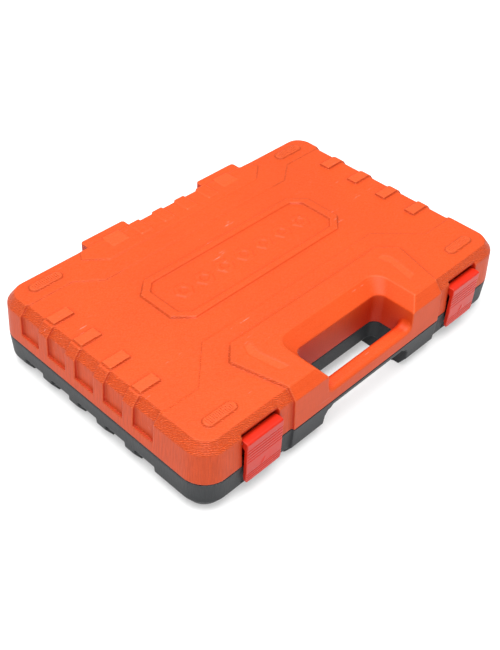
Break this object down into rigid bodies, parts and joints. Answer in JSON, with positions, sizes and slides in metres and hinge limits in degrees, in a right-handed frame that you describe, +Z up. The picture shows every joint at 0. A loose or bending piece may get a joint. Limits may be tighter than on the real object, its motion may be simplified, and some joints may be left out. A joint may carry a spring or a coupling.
{
  "type": "socket wrench set in case",
  "caption": "Hard plastic carry case with a hinged lid and two latches, holding socket wrenches, sockets, extensions and bits in a moulded bay.",
  "frame": {"origin": "centre of the footprint, on the table under the closed case lying flat", "axes": "+X along the width to the right seen from the handle side, +Y from the handle to the hinges, +Z up through the lid"},
  "size_m": [0.39, 0.2714, 0.0766],
  "materials": {
    "base_plastic": "moulded, satin",
    "lid_plastic": "moulded, fine grain",
    "latch_plastic": "glossy",
    "pin_steel": "plain",
    "chrome_steel": "polished",
    "satin_steel": "satin",
    "grip_rubber": "matte",
    "grip_plastic": "glossy",
    "insert_rubber": "matte",
    "bit_steel": "dark satin"
  },
  "bodies": {
    "case_base": {"base_shell": "base_plastic", "base_grip": "base_plastic", "tool_tray": "base_plastic", "hinge_pin_left": "pin_steel", "hinge_pin_right": "pin_steel", "large_ratchet_body": "chrome_steel", "large_ratchet_cover": "satin_steel", "large_ratchet_grip": "grip_rubber", "small_ratchet_body": "chrome_steel", "small_ratchet_cover": "satin_steel", "small_ratchet_grip": "grip_rubber", "large_extension_bar": "chrome_steel", "small_extension_bar": "chrome_steel", "t_bar_rod": "chrome_steel", "spinner_grip": "grip_plastic", "spinner_shank": "chrome_steel", "joint_fork_socket": "chrome_steel", "deep_socket_17": "chrome_steel", "deep_socket_19": "chrome_steel", "plug_socket_16": "chrome_steel", "plug_socket_21": "chrome_steel", "plug_insert_16": "insert_rubber", "plug_insert_21": "insert_rubber", "bits_slotted": "bit_steel", "bits_cross": "bit_steel", "bits_hex": "bit_steel", "bits_star": "bit_steel", "large_socket_13": "chrome_steel", "large_socket_15": "chrome_steel", "large_socket_17": "chrome_steel", "large_socket_19": "chrome_steel", "large_socket_21": "chrome_steel", "large_socket_22": "chrome_steel", "large_socket_24": "chrome_steel", "large_socket_27": "chrome_steel", "small_socket_1": "chrome_steel", "small_socket_2": "chrome_steel", "small_socket_3": "chrome_steel", "small_socket_4": "chrome_steel", "small_socket_5": "chrome_steel", "small_socket_6": "chrome_steel", "small_socket_7": "chrome_steel", "small_socket_8": "chrome_steel"},
    "lid": {"lid_shell": "lid_plastic", "latch_pin_left": "pin_steel", "latch_pin_right": "pin_steel"},
    "left_latch": {"latch_left": "latch_plastic"},
    "right_latch": {"latch_right": "latch_plastic"},
    "large_drive": {"large_ratchet_drive": "satin_steel"},
    "large_button": {"large_ratchet_button": "satin_steel"},
    "large_lever": {"large_ratchet_lever": "satin_steel", "large_ratchet_pawl": "satin_steel"},
    "small_drive": {"small_ratchet_drive": "satin_steel"},
    "small_button": {"small_ratchet_button": "satin_steel"},
    "small_lever": {"small_ratchet_lever": "satin_steel", "small_ratchet_pawl": "satin_steel"},
    "joint_spider": {"joint_cross": "satin_steel"},
    "joint_drive_fork": {"joint_fork_drive": "satin_steel"},
    "t_bar_head": {"t_bar_slider": "chrome_steel"}
  },
  "joints": [
    {"name": "lid_hinge", "type": "hinge", "parent": "case_base", "child": "lid", "pos_m": [0, 0.132, 0.034], "axis": [-1, 0, 0], "range_deg": [0, 105]},
    {"name": "left_latch_hinge", "type": "hinge", "parent": "lid", "child": "left_latch", "pos_m": [-0.133, -0.1275, 0.0572], "axis": [-1, 0, 0], "range_deg": [0, 58]},
    {"name": "right_latch_hinge", "type": "hinge", "parent": "lid", "child": "right_latch", "pos_m": [0.133, -0.1275, 0.0572], "axis": [-1, 0, 0], "range_deg": [0, 58]},
    {"name": "large_ratchet_spin", "type": "hinge", "parent": "case_base", "child": "large_drive", "pos_m": [-0.15, 0.0925, 0.03], "axis": [0, 0, 1], "continuous": true},
    {"name": "large_ratchet_release", "type": "slide", "parent": "case_base", "child": "large_button", "axis": [0, 0, -1], "range_m": [0, 0.002], "stiffness_N_per_m": 400, "springref_m": -0.002},
    {"name": "large_ratchet_reverse", "type": "hinge", "parent": "case_base", "child": "large_lever", "pos_m": [-0.1354, 0.0925, 0.03], "axis": [0, 0, 1], "range_deg": [-20, 20]},
    {"name": "small_ratchet_spin", "type": "hinge", "parent": "case_base", "child": "small_drive", "pos_m": [0.118, -0.044, 0.026], "axis": [0, 0, 1], "continuous": true},
    {"name": "small_ratchet_release", "type": "slide", "parent": "case_base", "child": "small_button", "axis": [0, 0, -1], "range_m": [0, 0.0013], "stiffness_N_per_m": 300, "springref_m": -0.0015},
    {"name": "small_ratchet_reverse", "type": "hinge", "parent": "case_base", "child": "small_lever", "pos_m": [0.10895, -0.044, 0.026], "axis": [0, 0, 1], "range_deg": [-20, 20]},
    {"name": "joint_pitch", "type": "hinge", "parent": "case_base", "child": "joint_spider", "pos_m": [-0.008, -0.0045, 0.026], "axis": [0, 1, 0], "range_deg": [-20, 20]},
    {"name": "joint_yaw", "type": "hinge", "parent": "joint_spider", "child": "joint_drive_fork", "pos_m": [-0.008, -0.0045, 0.026], "axis": [0, 0, 1], "range_deg": [-20, 20]},
    {"name": "t_bar_slide", "type": "slide", "parent": "case_base", "child": "t_bar_head", "axis": [1, 0, 0], "range_m": [-0.035, 0.035]}
  ]
}
